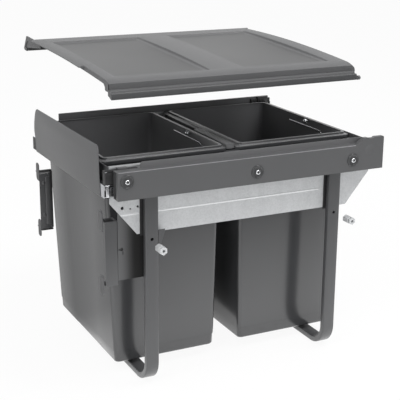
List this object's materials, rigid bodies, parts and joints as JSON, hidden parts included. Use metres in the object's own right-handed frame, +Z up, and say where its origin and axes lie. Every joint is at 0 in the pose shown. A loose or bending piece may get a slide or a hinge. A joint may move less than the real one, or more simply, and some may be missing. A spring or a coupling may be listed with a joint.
{
  "type": "pull out trash cabinet",
  "caption": "Pull-out waste bin unit for a kitchen base cabinet: side-mounted runners, a metal frame, paired tall bins and an arched lid held above them.",
  "frame": {"origin": "centre of the wall bracket's fixing holes, on the left cabinet wall", "axes": "+X to the right across the cabinet, +Y to the back of the cabinet, +Z up"},
  "size_m": [0.562, 0.6018, 0.58],
  "materials": {
    "painted": "satin powder coat",
    "grey_paint": "satin",
    "zinc": "galvanised",
    "bright_steel": "bright zinc",
    "black_plastic": "moulded",
    "grey_plastic": "fine texture",
    "bin_plastic": "semi-gloss"
  },
  "bodies": {
    "wall_side": {"left_side_plate": "grey_paint", "left_fixed_rail": "zinc", "right_fixed_rail": "zinc", "right_rail_packer": "black_plastic", "wall_bracket_front": "painted", "wall_bracket_rear": "painted"},
    "outer_cages": {"left_outer_cage": "black_plastic", "right_outer_cage": "black_plastic"},
    "mid_slides": {"left_mid_rail": "zinc", "right_mid_rail": "zinc"},
    "inner_cages": {"left_inner_cage": "black_plastic", "right_inner_cage": "black_plastic"},
    "drawer": {"left_inner_rail": "bright_steel", "right_inner_rail": "bright_steel", "left_side_frame": "painted", "right_side_frame": "painted", "front_rail": "grey_plastic", "front_strip": "painted", "cross_plate": "zinc", "corner_cap": "black_plastic", "rear_plate": "zinc", "rear_rail": "painted", "rear_latch": "black_plastic", "middle_bar": "painted", "bin_divider": "grey_plastic", "left_leg": "painted", "right_leg": "painted", "keyhole_plate": "painted", "rail_washers": "painted", "rail_screws": "bright_steel", "rail_nuts": "bright_steel", "leg_bolts": "bright_steel", "leg_nuts": "bright_steel", "left_bin": "bin_plastic", "right_bin": "bin_plastic", "bag_wires": "bright_steel", "bag_knobs": "bright_steel"},
    "lid": {"lid_panel": "grey_paint", "lid_hanger": "grey_paint", "lid_peg": "black_plastic"},
    "left_spacer_body": {"left_spacer": "bright_steel"},
    "right_spacer_body": {"right_spacer": "bright_steel"}
  },
  "joints": [
    {"name": "drawer_slide", "type": "slide", "parent": "wall_side", "child": "drawer", "axis": [0, -1, 0], "range_m": [0, 0.4]},
    {"name": "mid_slide", "type": "slide", "parent": "wall_side", "child": "mid_slides", "axis": [0, -1, 0], "range_m": [0, 0.2]},
    {"name": "outer_cage_slide", "type": "slide", "parent": "wall_side", "child": "outer_cages", "axis": [0, -1, 0], "range_m": [0, 0.1]},
    {"name": "inner_cage_slide", "type": "slide", "parent": "wall_side", "child": "inner_cages", "axis": [0, -1, 0], "range_m": [0, 0.3]},
    {"name": "lid_seating", "type": "slide", "parent": "drawer", "child": "lid", "axis": [0, 0, 1], "range_m": [-0.096, 0]},
    {"name": "left_spacer_fitting", "type": "slide", "parent": "drawer", "child": "left_spacer_body", "axis": [0.1361, 0.99, 0.0371], "range_m": [0, 0.0401]},
    {"name": "right_spacer_fitting", "type": "slide", "parent": "drawer", "child": "right_spacer_body", "axis": [0, 1, 0], "range_m": [0, 0.0397]}
  ],
  "couplings": [
    {"joint": "mid_slide", "follows": "drawer_slide", "ratio": 0.5},
    {"joint": "outer_cage_slide", "follows": "drawer_slide", "ratio": 0.25},
    {"joint": "inner_cage_slide", "follows": "drawer_slide", "ratio": 0.75}
  ]
}
